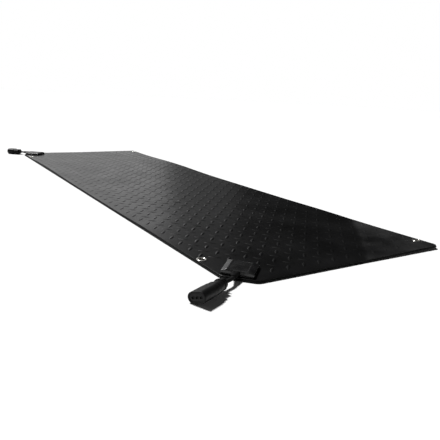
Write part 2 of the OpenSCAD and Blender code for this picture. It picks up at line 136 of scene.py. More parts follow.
LONG_WAVES = [(4.2 * MM, 0.36, 0.30), (1.1 * MM, -0.46, 0.17)]  # height, middle in Y, half length
RIPPLES = [  # the same, with the X where each begins and is whole
    (0.8 * MM, 0.11, 0.09, 0.15, -0.2),
    (0.5 * MM, -0.04, 0.08, 0.1, -0.15),
]
FAR_CORNER_LIFT = 3.4 * MM
CREASE = 0.790  # the near right corner is bent up beyond the line x - y = CREASE
CREASE_SLOPE = 0.0175


def wave(x, y):
    """Height of the mat's underside above the floor: it doesn't lie quite flat."""
    height = sum(high * hump(y, middle, reach) for high, middle, reach in LONG_WAVES)
    height += sum(high * hump(y, middle, reach) * smoothstep(begin, whole, x)
                  for high, middle, reach, begin, whole in RIPPLES)
    far_corner = FAR_CORNER_LIFT * smoothstep(-0.05, MAT_W / 2, x) * smoothstep(0.45, MAT_L / 2 - 2 * MM, y)
    near_corner = CREASE_SLOPE * max(0.0, (x - y - CREASE) / math.sqrt(2))
    lean = 1 + 0.12 * math.sin(7 * x + 1.0)
    return height * lean + far_corner + near_corner


MATS = {}  # every material by the name of its slot


def material(name):
    """Adds a material to MATS and gives its node tree and its Principled shader."""
    MATS[name] = bpy.data.materials.new(name)
    MATS[name].use_nodes = True
    tree = MATS[name].node_tree
    return tree, tree.nodes["Principled BSDF"]


def new_object(name, data, mats, nodes):
    """Links data as a piece of the object that rides on its only body."""
    piece = bpy.data.objects.new(name, data)
    bpy.context.scene.collection.objects.link(piece)
    for mat in mats if isinstance(mats, (list, tuple)) else [mats]:
        piece.data.materials.append(mat)
    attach(piece, "root")
    if nodes:
        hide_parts(*nodes)
    return piece


def mesh_from(name, verts, faces, smooth=True):
    """A mesh of points and faces."""
    mesh = bpy.data.meshes.new(name)
    mesh.from_pydata([tuple(v) for v in verts], [], faces)
    mesh.validate()
    mesh.polygons.foreach_set("use_smooth", [smooth] * len(mesh.polygons))
    mesh.update()
    return mesh


def loft(rings, cap_start=True, cap_end=True):
    """Points and faces of a tube through rings, each a list of as many points."""
    n = len(rings[0])
    verts = [p for ring in rings for p in ring]
    faces = []
    for i in range(len(rings) - 1):
        for k in range(n):
            a, b = i * n + k, i * n + (k + 1) % n
            faces.append((a, b, b + n, a + n))
    if cap_start:
        faces.append(tuple(range(n - 1, -1, -1)))
    if cap_end:
        faces.append(tuple((len(rings) - 1) * n + k for k in range(n)))
    return verts, faces


def join(parts):
    """Several (points, faces) as one."""
    verts, faces = [], []
    for v, f in parts:
        start = len(verts)
        verts += list(v)
        faces += [tuple(i + start for i in face) for face in f]
    return verts, faces


def outward(mesh):
    """Turns every face of a closed mesh outwards."""
    bm = bmesh.new()
    bm.from_mesh(mesh)
    bmesh.ops.recalc_face_normals(bm, faces=bm.faces)
    bm.to_mesh(mesh)
    bm.free()
    return mesh


def sharpen(mesh, degrees):
    """Keeps edges that turn by more than an angle sharp."""
    mesh.set_sharp_from_angle(angle=math.radians(degrees))
    return mesh

# ---------------------------------------------------------------- materials


def noise_node(tree, scale, detail=3.0, roughness=0.55, stretch=(1, 1, 1)):
    """Noise over the object's own metres."""
    nodes, links = tree.nodes, tree.links
    where = nodes.new("ShaderNodeTexCoord")
    mapping = nodes.new("ShaderNodeMapping")
    mapping.inputs["Scale"].default_value = stretch
    texture = nodes.new("ShaderNodeTexNoise")
    texture.inputs["Scale"].default_value = scale
    texture.inputs["Detail"].default_value = detail
    texture.inputs["Roughness"].default_value = roughness
    links.new(where.outputs["Object"], mapping.inputs["Vector"])
    links.new(mapping.outputs["Vector"], texture.inputs["Vector"])
    return texture.outputs["Fac"]


def ramp(tree, value, stops):
    """A value turned into colours: stops are (place, colour)."""
    node = tree.nodes.new("ShaderNodeValToRGB")
    while len(node.color_ramp.elements) < len(stops):
        node.color_ramp.elements.new(0.5)
    for element, (place, colour) in zip(node.color_ramp.elements, stops):
        element.position = place
        element.color = (*colour, 1)
    tree.links.new(value, node.inputs["Fac"])
    return node.outputs["Color"]


def spread(tree, value, low, high, start=0.3, end=0.7):
    """A value from start to end turned into one from low to high."""
    node = tree.nodes.new("ShaderNodeMapRange")
    node.inputs["From Min"].default_value = start
    node.inputs["From Max"].default_value = end
    node.inputs["To Min"].default_value = low
    node.inputs["To Max"].default_value = high
    tree.links.new(value, node.inputs["Value"])
    return node.outputs["Result"]


def calculate(tree, operation, a, b):
    """Two values or numbers put together by a Math node."""
    node = tree.nodes.new("ShaderNodeMath")
    node.operation = operation
    for socket, value in zip(node.inputs, (a, b)):
        if isinstance(value, (int, float)):
            socket.default_value = value
        else:
            tree.links.new(value, socket)
    return node.outputs["Value"]


def bump(tree, shader, height, distance):
    """Small relief from a height between 0 and 1, distance deep."""
    node = tree.nodes.new("ShaderNodeBump")
    node.inputs["Strength"].default_value = 1.0
    node.inputs["Distance"].default_value = distance
    tree.links.new(height, node.inputs["Height"])
    tree.links.new(node.outputs["Normal"], shader.inputs["Normal"])


def painted_sheen_corner(tree):
    """Mask of the painted sheen: one beyond the crease of the mat's near right corner, nothing elsewhere.
    """
    where = tree.nodes.new("ShaderNodeTexCoord")
    split = tree.nodes.new("ShaderNodeSeparateXYZ")
    tree.links.new(where.outputs["Object"], split.inputs["Vector"])
    beyond = calculate(tree, "SUBTRACT", split.outputs["X"], split.outputs["Y"])
    return spread(tree, beyond, 0, 1, CREASE - 10 * MM, CREASE + 15 * MM)


def rubber(name, dark, light, rough, grain=700, corner_sheen=0.0, gloss=0.5):
    """Moulded rubber: fine grain, patches of duller skin, and a painted sheen beyond the mat's crease, a
    lighter colour in place of the bent-up corner's reflection.
    """
    tree, shader = material(name)
    cloudy = noise_node(tree, 9, detail=5)
    fine = noise_node(tree, grain, detail=2)
    tone = calculate(tree, "ADD", calculate(tree, "MULTIPLY", cloudy, 0.7),
                     calculate(tree, "MULTIPLY", fine, 0.3))
    stops = [(0.35, dark), (0.65, light)]
    # painted sheen: beyond the crease the colour is lifted lighter, standing in for the brighter reflection
    # of the bent-up corner
    if corner_sheen:
        tone = calculate(tree, "ADD", tone, calculate(tree, "MULTIPLY", painted_sheen_corner(tree), 0.26))
        stops.append((0.86, tuple(c + corner_sheen for c in light)))
    tree.links.new(ramp(tree, tone, stops), shader.inputs["Base Color"])
    tree.links.new(spread(tree, cloudy, *rough), shader.inputs["Roughness"])
    shader.inputs["Specular IOR Level"].default_value = gloss
    bump(tree, shader, fine, 0.05 * MM)


def hard_plastic(name, dark, light, roughness, gloss=0.5):
    """Spark-finished moulded plastic."""
    tree, shader = material(name)
    fine = noise_node(tree, 1600, detail=2, roughness=0.7)
    broad = noise_node(tree, 40, detail=3)
    tree.links.new(ramp(tree, broad, [(0.3, dark), (0.7, light)]), shader.inputs["Base Color"])
    tree.links.new(spread(tree, broad, roughness - 0.05, roughness + 0.06), shader.inputs["Roughness"])
    shader.inputs["Specular IOR Level"].default_value = gloss
    bump(tree, shader, fine, 0.03 * MM)


def metal(name, colour, worn, roughness, stretch=(1, 1, 1)):
    """Metal with faint marks, drawn out along one direction by stretch, and duller patches."""
    tree, shader = material(name)
    marks = noise_node(tree, 500, detail=3, stretch=stretch)
    broad = noise_node(tree, 60, detail=4)
    shader.inputs["Metallic"].default_value = 1.0
    tree.links.new(ramp(tree, broad, [(0.35, worn), (0.65, colour)]), shader.inputs["Base Color"])
    tree.links.new(spread(tree, marks, roughness - 0.06, roughness + 0.1), shader.inputs["Roughness"])
    bump(tree, shader, marks, 0.01 * MM)


def woven_glass(name):
    """Open plain weave of glass yarn."""
    tree, shader = material(name)
    where = tree.nodes.new("ShaderNodeTexCoord")
    heights = []
    for direction in ("X", "Y"):
        wave_node = tree.nodes.new("ShaderNodeTexWave")
        wave_node.bands_direction = direction
        wave_node.inputs["Scale"].default_value = 130
        wave_node.inputs["Distortion"].default_value = 0.4
        tree.links.new(where.outputs["Object"], wave_node.inputs["Vector"])
        heights.append(wave_node.outputs["Fac"])
    height = calculate(tree, "MAXIMUM", *heights)
    tree.links.new(ramp(tree, height, [(0.2, (0.45, 0.44, 0.38)), (0.8, (0.82, 0.8, 0.73))]),
                   shader.inputs["Base Color"])
    tree.links.new(spread(tree, height, 0.75, 0.5, 0, 1), shader.inputs["Roughness"])
    bump(tree, shader, height, 0.08 * MM)


def crinkled_foil(name):
    """Bright foil with creases between pressed cells."""
    tree, shader = material(name)
    shader.inputs["Metallic"].default_value = 1.0
    where = tree.nodes.new("ShaderNodeTexCoord")
    cells = tree.nodes.new("ShaderNodeTexVoronoi")
    cells.inputs["Scale"].default_value = 70
    tree.links.new(where.outputs["Object"], cells.inputs["Vector"])
    broad = noise_node(tree, 25, detail=4)
    tree.links.new(ramp(tree, broad, [(0.3, (0.72, 0.72, 0.74)), (0.7, (0.9, 0.9, 0.91))]),
                   shader.inputs["Base Color"])
    tree.links.new(spread(tree, broad, 0.22, 0.4), shader.inputs["Roughness"])
    bump(tree, shader, cells.outputs["Distance"], 0.3 * MM)


def make_materials():
    """Every material of the object."""
    jet, soot = (0.002, 0.002, 0.0021), (0.005, 0.005, 0.0053)
    pitch, coal = (0.006, 0.006, 0.0063), (0.012, 0.012, 0.0125)
    # the mat's rubber gets the painted sheen beyond the crease, a lighter colour for the bent-up corner's
    # reflection
    rubber("mat_rubber", jet, soot, (0.27, 0.36), corner_sheen=0.026, gloss=0.3)
    rubber("edge_rubber", jet, soot, (0.5, 0.66), gloss=0.12)
    rubber("connector_rubber", jet, pitch, (0.36, 0.48), grain=1100, gloss=0.16)
    rubber("cord_rubber", (0.003, 0.003, 0.0032), (0.007, 0.007, 0.0074), (0.6, 0.7), grain=1400, gloss=0.1)
    rubber("seal_rubber", (0.03, 0.03, 0.031), (0.05, 0.05, 0.052), (0.6, 0.7), grain=1500)
    rubber("wire_copper", (0.3, 0.05, 0.02), (0.42, 0.08, 0.03), (0.4, 0.55), grain=1500)
    hard_plastic("box_plastic", pitch, coal, 0.27)
    hard_plastic("insert_plastic", (0.004, 0.004, 0.0042), (0.008, 0.008, 0.0084), 0.4, gloss=0.2)
    hard_plastic("core_plastic", (0.05, 0.13, 0.04), (0.08, 0.2, 0.06), 0.4)
    hard_plastic("block_plastic", (0.7, 0.69, 0.62), (0.8, 0.79, 0.73), 0.45)
    metal("nickel", (0.86, 0.85, 0.82), (0.7, 0.68, 0.63), 0.24)
    metal("contact_brass", (0.82, 0.66, 0.33), (0.66, 0.5, 0.24), 0.28)
    metal("plate_steel", (0.6, 0.6, 0.61), (0.45, 0.45, 0.46), 0.35, stretch=(1, 12, 1))
    woven_glass("scrim_glass")
    crinkled_foil("foil")


make_materials()

# ---------------------------------------------------------------- sheets


def side_offsets():
    """Distances from a short side at which a sheet's outline has points: close together round
    the corners, then even steps to the middle."""
    k = CHAMFER_R * math.tan(math.radians(22.5))
    steps = [math.radians(a) for a in (0, 15, 30, 45, 60, 75, 90)]
    near = [CORNER_R * (1 - math.cos(a)) for a in steps]
    near += [CHAMFER_R * (1 - math.cos(a)) for a in steps[1:4]]
    near += [CHAMFER + k - CHAMFER_R * math.sin(a) for a in steps[:4]]
    near += [CORNER_R + (CHAMFER - CORNER_R) * f for f in (0.2, 0.4, 0.6, 0.75)]
    near.sort()
    step = 12 * MM
    count = round((MAT_L / 2 - near[-1]) / step)
    pitch = (MAT_L / 2 - near[-1]) / count
    return near + [near[-1] + pitch * (i + 1) for i in range(count)]


def left_x(t):
    """The outline's left side at distance t from a short side, round the soft chamfer."""
    w, k = MAT_W / 2, CHAMFER_R * math.tan(math.radians(22.5))
    if t < CHAMFER_R * (1 - math.sqrt(0.5)):
        return -w + CHAMFER + k - math.sqrt(CHAMFER_R ** 2 - (CHAMFER_R - t) ** 2)
    if t < CHAMFER + k - CHAMFER_R * math.sqrt(0.5):
        return -w + CHAMFER - t
    if t < CHAMFER + k:
        return -w + CHAMFER_R - math.sqrt(CHAMFER_R ** 2 - (t - CHAMFER - k) ** 2)
    return -w


def right_x(t):
    """The outline's right side at distance t from a short side, round the corner."""
    if t < CORNER_R:
        return MAT_W / 2 - CORNER_R + math.sqrt(CORNER_R ** 2 - (CORNER_R - t) ** 2)
    return MAT_W / 2


SIDE = side_offsets()
ROWS = [-MAT_L / 2 + t for t in SIDE] + [MAT_L / 2 - t for t in reversed(SIDE[:-1])]
LEFT = [Vector((left_x(MAT_L / 2 - abs(y)), y)) for y in ROWS]
RIGHT = [Vector((right_x(MAT_L / 2 - abs(y)), y)) for y in ROWS]
COLUMNS = 42


def outline(inset):
    """The mat's outline drawn in by inset, anticlockwise from the left end of its near side."""
    last = len(ROWS) - 1
    near = [LEFT[0].lerp(RIGHT[0], i / COLUMNS) for i in range(COLUMNS)]
    far = [RIGHT[last].lerp(LEFT[last], i / COLUMNS) for i in range(COLUMNS)]
    loop = near + RIGHT[:last] + far + LEFT[:0:-1]
    drawn = []
    for i, p in enumerate(loop):
        along = (loop[(i + 1) % len(loop)] - loop[i - 1]).normalized()
        drawn.append(p + inset * Vector((-along.y, along.x)))
    return drawn


def sheet_grid(loop, z, upwards):
    """A level sheet inside a loop from outline(), in rows from side to side."""
    last = len(ROWS) - 1
    right = loop[COLUMNS:COLUMNS + last + 1]
    left = [loop[0]] + loop[:COLUMNS + last + COLUMNS - 1:-1]
    verts = []
    for a, b in zip(left, right):
        verts += [(*a.lerp(b, i / COLUMNS), z) for i in range(COLUMNS + 1)]
    faces = []
    for j in range(last):
        for i in range(COLUMNS):
            a = j * (COLUMNS + 1) + i
            quad = (a, a + 1, a + COLUMNS + 2, a + COLUMNS + 1)
            faces.append(quad if upwards else quad[::-1])
    return verts, faces


def slab(name, profile):
    """A closed sheet whose edge follows profile: (inset, z) pairs from its underside up."""
    rings = [[(*p, z) for p in outline(inset)] for inset, z in profile]
    edge = loft(rings, cap_start=False, cap_end=False)
    under = sheet_grid(outline(profile[0][0]), profile[0][1], upwards=False)
    over = sheet_grid(outline(profile[-1][0]), profile[-1][1], upwards=True)
    verts, faces = join([edge, under, over])
    bm = bmesh.new()
    for v in verts:
        bm.verts.new(v)
    bm.verts.ensure_lookup_table()
    for f in faces:
        bm.faces.new([bm.verts[i] for i in f])
    bmesh.ops.remove_doubles(bm, verts=bm.verts, dist=0.002 * MM)
    for f in bm.faces:
        f.smooth = True
    mesh = bpy.data.meshes.new(name)
    bm.to_mesh(mesh)
    bm.free()
    return mesh


def drill(mesh, holes):
    """Cuts upright round holes, each (x, y, diameter, z from, z to), out of a mesh."""
    parts = []
    for x, y, d, low, high in holes:
        ring = [(x + d / 2 * math.cos(math.tau * k / 40), y + d / 2 * math.sin(math.tau * k / 40))
                for k in range(40)]
        parts.append(loft([[(*p, low) for p in ring], [(*p, high) for p in ring]]))
    cutter = bpy.data.objects.new("cutter", mesh_from("cutter", *join(parts), smooth=False))
    blank = bpy.data.objects.new("blank", mesh)
    for o in (cutter, blank):
        bpy.context.scene.collection.objects.link(o)
    cut = blank.modifiers.new("holes", "BOOLEAN")
    cut.operation, cut.solver, cut.object = "DIFFERENCE", "EXACT", cutter
    drilled = bpy.data.meshes.new_from_object(
        blank.evaluated_get(bpy.context.evaluated_depsgraph_get()))
    for o in (cutter, blank):
        bpy.data.objects.remove(o)
    return drilled


def lay(mesh):
    """Lets a mesh follow the mat's wave."""
    co = np.empty(len(mesh.vertices) * 3, np.float32)
    mesh.vertices.foreach_get("co", co)
    co = co.reshape(-1, 3)
    co[:, 2] += [wave(x, y) for x, y in co[:, :2].tolist()]
    mesh.vertices.foreach_set("co", co.ravel())
    mesh.update()
    return mesh


def rotated(x, y, turn):
    """A point turned about the origin."""
    return x * math.cos(turn) - y * math.sin(turn), x * math.sin(turn) + y * math.cos(turn)


LUG_LENGTH, LUG_WIDTH, LUG_HEIGHT = 24.5 * MM, 7 * MM, 0.9 * MM
LUG_COLUMNS, LUG_ROWS = 14, 42  # of the lugs that lean one way
LUG_SPAN_X, LUG_SPAN_Y = 464 * MM, 1466 * MM
LUG_SINK = 0.12 * MM
BEND_STEP = 32 * MM  # between the lines along which a thin layer may bend

# Least distances from a lug's tip to the mat's edge, and from its middle to what stands on the mat
EDGE_GAP, CHAMFER_GAP, EYELET_GAP = 4 * MM, 8 * MM, 9 * MM
BOX_END_GAP, BOX_SIDE_GAP = 12 * MM, 8 * MM


def lug(x, y, turn):
    """One lens-shaped lug of the tread: a low dome with pointed ends, sunk into the sheet."""
    along, across = 10, 6
    verts, faces = [], []
    for i in range(along + 1):
        a = math.sin(math.pi * (i / along - 0.5))
        half = LUG_WIDTH / 2 * (1 - abs(a) ** 2.3) + 0.15 * MM
        for j in range(across + 1):
            b = math.sin(math.pi * (j / across - 0.5))
            px, py = rotated(a * LUG_LENGTH / 2, b * half, turn)
            rise = (1 - a * a) ** 0.7 * (1 - b * b) ** 1.1
            verts.append((x + px, y + py, MAT_T + LUG_HEIGHT * rise - LUG_SINK))
    for i in range(along):
        for j in range(across):
            k = i * (across + 1) + j
            faces.append((k, k + across + 1, k + across + 2, k + 1))
    return verts, faces


def box_place(side, s, v):
    """Where a point of a power box stands: s inwards from its cord end and v to the left of it.
    The outlet box is on side -1 and the inlet box, its mirror image, on side 1."""
    x, y = rotated(s, v, BOX_TURN)
    return BOX_START[0] + x, (BOX_START[1] + y) * -side


def has_room(x, y):
    """Whether a lug at (x, y) is clear of the edge, the eyelets and the power boxes."""
    reach = LUG_LENGTH / 2 * math.sqrt(0.5)
    chamfer = x - abs(y) + MAT_W / 2 + MAT_L / 2
    if abs(x) + reach > MAT_W / 2 - EDGE_GAP or abs(y) + reach > MAT_L / 2 - EDGE_GAP:
        return False
    if chamfer < CHAMFER + 2 * reach + CHAMFER_GAP:
        return False
    if any(math.hypot(x - ex, y - ey) < EYELET_OD / 2 + EYELET_GAP for ex, ey in EYELETS):
        return False
    for side in (-1, 1):
        ox, oy = box_place(side, BOX_L / 2, 0)
        px, py = rotated(x - ox, (y - oy) * -side, -BOX_TURN)
        if abs(px) < BOX_L / 2 + BOX_END_GAP and abs(py) < BOX_W / 2 + BOX_SIDE_GAP:
            return False
    return True


def tread():
    """Lugs on a square lattice that lean one way, and between them those that lean the other way."""
    pitch_x, pitch_y = LUG_SPAN_X / (LUG_COLUMNS - 1), LUG_SPAN_Y / (LUG_ROWS - 1)
    lugs = []
    for i in range(LUG_COLUMNS):
        for j in range(LUG_ROWS):
            x, y = -LUG_SPAN_X / 2 + i * pitch_x, -LUG_SPAN_Y / 2 + j * pitch_y
            if has_room(x, y):
                lugs.append(lug(x, y, math.radians(45)))
            x, y = x + pitch_x / 2, y + pitch_y / 2
            if i < LUG_COLUMNS - 1 and j < LUG_ROWS - 1 and has_room(x, y):
                lugs.append(lug(x, y, math.radians(-45)))
    return join(lugs)


def make_top_sheet():
    """Upper sheet with its tread; its cut sides have the duller skin of the edge."""
    low = TOP_LOW.z + 0.4 * MM
    profile = [(RIM + 0.3 * MM, low), (RIM, low + 0.2 * MM), (RIM, MAT_T - 0.5 * MM),
               (RIM + 0.15 * MM, MAT_T - 0.15 * MM), (RIM + 0.5 * MM, MAT_T), (RIM + 1.6 * MM, MAT_T)]
    sheet = drill(slab("top_sheet_slab", profile),
                  [(x, y, SHEET_HOLE, 0, 2 * MAT_T) for x, y in EYELETS])
    bm = bmesh.new()
    bm.from_mesh(sheet)
    bm.from_mesh(mesh_from("lugs", *tread()))
    bm.normal_update()
    for f in bm.faces:
        f.smooth = True
        cut = abs(f.normal.z) < 0.3 and f.calc_center_median().z < MAT_T - 0.15 * MM
        f.material_index = 1 if cut else 0
    mesh = bpy.data.meshes.new("treaded_top")
    bm.to_mesh(mesh)
    bm.free()
    sharpen(lay(mesh), 50)
    mats = [MATS["mat_rubber"], MATS["edge_rubber"]]
    return new_object("treaded_top", mesh, mats, ["top_sheet"])


def make_base_sheet():
    """Lower sheet with rounded sides and a recess for each washer."""
    side = [(1.6 * MM, 0), (0.4 * MM, 0), (0.1 * MM, 0.1 * MM), (0, 0.4 * MM)]
    profile = side + [(inset, BASE_T - z) for inset, z in reversed(side)]
    holes = [(x, y, SHEET_HOLE, -MM, MAT_T) for x, y in EYELETS]
    holes += [(x, y, WASHER_RECESS, -MM, WASHER_DEPTH) for x, y in EYELETS]
    mesh = drill(slab("base_slab", profile), holes)
    mesh.polygons.foreach_set("use_smooth", [True] * len(mesh.polygons))
    sharpen(lay(mesh), 50)
    return new_object("base_layer", mesh, MATS["edge_rubber"], ["base_sheet"])


def follow_wave(node, name, slot):
    """A thin inner layer of the mat, copied from the CAD and laid along the wave."""
    bm = bmesh.new()
    bm.from_mesh(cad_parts[node].data)
    for axis, length in ((0, MAT_W), (1, MAT_L)):
        count = round(length / BEND_STEP)
        for i in range(1, count):
            at = Vector((0, 0, 0))
            at[axis] = -length / 2 + i * length / count
            normal = Vector((0, 0, 0))
            normal[axis] = 1
            geometry = bm.verts[:] + bm.edges[:] + bm.faces[:]
            bmesh.ops.bisect_plane(bm, geom=geometry, dist=0.001 * MM, plane_co=at, plane_no=normal)
    mesh = bpy.data.meshes.new(name)
    bm.to_mesh(mesh)
    bm.free()
    return new_object(name, lay(mesh), MATS[slot], [node])

# ---------------------------------------------------------------- eyelets


def lathe(profile, x, y, count=56):
    """A closed ring turned about the upright line at (x, y) from (radius, z) points."""
    rings = []
    for k in range(count):
        c, s = math.cos(math.tau * k / count), math.sin(math.tau * k / count)
        rings.append([(x + r * c, y + r * s, z) for r, z in profile])
    verts, faces = loft(rings + [rings[0]], cap_start=False, cap_end=False)
    n = len(profile)
    faces = [tuple(i % (n * count) for i in f) for f in faces]
    return verts[:n * count], faces


def arc(cx, cy, rx, ry, start, end, count):
    """Points round an ellipse's arc, in degrees."""
    turns = [math.radians(start + (end - start) * i / count) for i in range(count + 1)]
    return [(cx + rx * math.cos(a), cy + ry * math.sin(a)) for a in turns]


def make_eyelets():
    """Rolled eyelets: a crowned flange on the tread, a barrel, and a turned-out foot below."""
    hole, rim = EYELET_HOLE / 2, EYELET_OD / 2
    barrel = hole + 0.7 * MM
    crown = EYELET_TOP - MAT_T
    profile = [(hole, 1.2 * MM), (hole, MAT_T - 0.4 * MM)]
    profile += arc(hole + 1.9 * MM, MAT_T, 1.9 * MM, crown, 180, 90, 6)[1:]
    profile += arc(hole + 2.6 * MM, MAT_T + 0.25 * MM, rim - hole - 2.6 * MM, crown - 0.25 * MM, 90, 0, 7)
    profile += [(rim - 0.1 * MM, MAT_T - 0.02 * MM), (barrel, MAT_T - 0.05 * MM)]
    profile += [(barrel, 0.5 * MM), (barrel + 1.7 * MM, 0.5 * MM), (barrel + 1.9 * MM, 0.3 * MM)]
    profile += [(barrel + 1.6 * MM, 0.05 * MM), (barrel + 0.2 * MM, 0.03 * MM), (hole + 0.1 * MM, 0.5 * MM)]
    washer = [(barrel + 0.1 * MM, 0.55 * MM), (rim - 0.1 * MM, 0.55 * MM), (rim, 0.65 * MM),
              (rim, 1.0 * MM), (rim - 0.1 * MM, 1.08 * MM), (barrel + 0.1 * MM, 1.08 * MM)]
    for i, (x, y) in enumerate(EYELETS):
        mesh = outward(mesh_from(f"eyelet_{i + 1}", *lathe(profile, x, y)))
        sharpen(lay(mesh), 40)
        new_object(f"eyelet_{i + 1}", mesh, MATS["nickel"], ["grommet_eyelets"])
        mesh = outward(mesh_from(f"washer_{i + 1}", *lathe(washer, x, y)))
        sharpen(lay(mesh), 40)
        new_object(f"washer_{i + 1}", mesh, MATS["nickel"], ["grommet_washers"])


# ---------------------------------------------------------------- power boxes

BOX_L, BOX_W = 55 * MM, 54 * MM
PANEL_W = 35.5 * MM
PANEL_START, PANEL_END = 0.5 * MM, 48.5 * MM
TRAY_TOP, COVER_LOW, SHOULDER, BOX_TOP = 7.2 * MM, 7.6 * MM, 11.6 * MM, 14.6 * MM


def box_mesh(name, side, bm):
    """Puts a mesh built in a box's own (s, v, z) where that box is."""
    for v in bm.verts:
        x, y = box_place(side, v.co.x, v.co.y)
        v.co = (x, y, v.co.z)
    bmesh.ops.recalc_face_normals(bm, faces=bm.faces)
    for f in bm.faces:
        f.smooth = True
    mesh = bpy.data.meshes.new(name)
    bm.to_mesh(mesh)
    bm.free()
    return mesh


def solid_between(bm, outlines):
    """A closed solid through level four-sided outlines: (s0, s1, half width, z) from below up."""
    rings = []
    for s0, s1, v, z in outlines:
        rings.append([bm.verts.new(p) for p in ((s0, -v, z), (s1, -v, z), (s1, v, z), (s0, v, z))])
    for low, high in zip(rings, rings[1:]):
        for k in range(4):
            bm.faces.new((low[k], low[(k + 1) % 4], high[(k + 1) % 4], high[k]))
    bm.faces.new(rings[0][::-1])
    bm.faces.new(rings[-1])


def soften(bm, radius, above=-1.0):
    """Rounds every edge that turns by more than 12 degrees and lies above a height."""
    bm.normal_update()
    edges = [e for e in bm.edges if len(e.link_faces) == 2
             and math.degrees(e.calc_face_angle()) > 12
             and min(v.co.z for v in e.verts) > above]
    bmesh.ops.bevel(bm, geom=edges, offset=radius, segments=3, profile=0.5, affect="EDGES",
                    clamp_overlap=True)


def top_face(bm):
    """The biggest level face."""
    bm.normal_update()
    level = [f for f in bm.faces if f.normal.z > 0.99]
    return max(level, key=lambda f: f.calc_area())


def add_weighted(piece):
    """Shades big flat faces flat and the small rounded ones round."""
    piece.modifiers.new("weighted", "WEIGHTED_NORMAL").keep_sharp = True


def make_box(side, end):
    """Tray, gasket line and bevelled cover of one power box."""
    bm = bmesh.new()
    solid_between(bm, [(0, BOX_L, BOX_W / 2, MAT_T - 0.4 * MM), (0, BOX_L, BOX_W / 2, TRAY_TOP)])
    soften(bm, 0.5 * MM, above=MAT_T)
    tray = box_mesh(f"{end}_tray", side, bm)
    add_weighted(new_object(f"{end}_tray", tray, MATS["box_plastic"], [f"{end}_box_tray"]))

    bm = bmesh.new()
    inset = 0.7 * MM
    solid_between(bm, [(inset, BOX_L - inset, BOX_W / 2 - inset, TRAY_TOP - 0.3 * MM),
                       (inset, BOX_L - inset, BOX_W / 2 - inset, COVER_LOW + 0.3 * MM)])
    gasket = box_mesh(f"{end}_gasket", side, bm)
    new_object(f"{end}_gasket", gasket, MATS["seal_rubber"], [f"{end}_box_gasket"])

    bm = bmesh.new()
    solid_between(bm, [(0, BOX_L, BOX_W / 2, COVER_LOW), (0, BOX_L, BOX_W / 2, SHOULDER),
                       (PANEL_START, PANEL_END, PANEL_W / 2, BOX_TOP)])
    soften(bm, 0.9 * MM)
    for width, drop in ((1.5 * MM, 0), (0.45 * MM, 0.4 * MM), (0.6 * MM, 0)):
        bmesh.ops.inset_region(bm, faces=[top_face(bm)], thickness=width, depth=-drop)
    cover = box_mesh(f"{end}_cover", side, bm)
    add_weighted(new_object(f"{end}_cover", cover, MATS["box_plastic"],
                            [f"{end}_box_cover"]))


# ---------------------------------------------------------------- cords


def smooth_route(route):
    """A smooth line through a route's points (a Catmull-Rom curve)."""
    per_stretch = 4
    p = [Vector(q) for q in route]
    p = [2 * p[0] - p[1]] + p + [2 * p[-1] - p[-2]]
    line = []
    for i in range(1, len(p) - 2):
        for j in range(per_stretch):
            t = j / per_stretch
            a, b, c, d = p[i - 1:i + 3]
            line.append(0.5 * (2 * b + (c - a) * t + (2 * a - 5 * b + 4 * c - d) * t ** 2
                               + (3 * b - a - 3 * c + d) * t ** 3))
    return line + [p[-2]]


def heading(route):
    """Direction in which a route ends, from above."""
    (ax, ay, _), (bx, by, _) = route[-2:]
    return math.atan2(by - ay, bx - ax)


def make_cord(end, route):
    """The free cord between a box and its connector."""
    line = smooth_route(route)
    curve = bpy.data.curves.new(f"{end}_lead", "CURVE")
    curve.dimensions = "3D"
    curve.bevel_depth = CORD_D / 2
    curve.bevel_resolution = 7
    curve.use_fill_caps = True
    spline = curve.splines.new("POLY")
    spline.points.add(len(line) - 1)
    for point, p in zip(spline.points, line):
        point.co = (*p, 1)
    spline.use_smooth = True
    return new_object(f"{end}_lead", curve, MATS["cord_rubber"], [f"{end}_cord"])


# ---------------------------------------------------------------- rounded tubes of the fittings

GROOVE_DEPTH = 0.55 * MM


def oval_ring(place, w, h, z, count=56):
    """A flat oval, w across and h high, square to a fitting's axis at z along it."""
    ring = []
    straight, r = (w - h) / 2, h / 2
    turn = 2 * math.pi * r + 4 * straight
    for k in range(count):
        d = turn * k / count
        if d < straight:
            x, y = d, r
        elif d < straight + math.pi * r:
            a = (d - straight) / r
            x, y = straight + r * math.sin(a), r * math.cos(a)
        elif d < 3 * straight + math.pi * r:
            x, y = straight - (d - straight - math.pi * r), -r
        elif d < 3 * straight + 2 * math.pi * r:
            a = (d - 3 * straight - math.pi * r) / r
            x, y = -straight - r * math.sin(a), -r * math.cos(a)
        else:
            x, y = d - turn, r
        ring.append(place(x, y, z))
    return ring


def fitting_place(route, roll=0.0):
    """Maps a fitting's own (across, up, along from its rear) to the CAD's frame."""
    turn = heading(route)
    ahead, left = Vector((math.cos(turn), math.sin(turn), 0)), Vector((-math.sin(turn), math.cos(turn), 0))
    across = left * math.cos(roll) + Vector((0, 0, math.sin(roll)))
    above = Vector((0, 0, math.cos(roll))) - left * math.sin(roll)
    rear = Vector(route[-1])
    return lambda x, y, z: tuple(rear + across * x + above * y + ahead * z)


def stepped_body(place, steps, edge=0.55 * MM):
    """Rings of an oval body whose steps, (start, end, width, height), have rounded edges."""
    rings = []
    for start, end, w, h in steps:
        for z, cut in ((start, 1.0), (start + 0.15 * edge, 0.45), (start + 0.5 * edge, 0.12),
                       (start + edge, 0), (end - edge, 0), (end - 0.5 * edge, 0.12),
                       (end - 0.15 * edge, 0.45), (end, 1.0)):
            rings.append(oval_ring(place, w - 2 * cut * edge, h - 2 * cut * edge, z))
    return rings


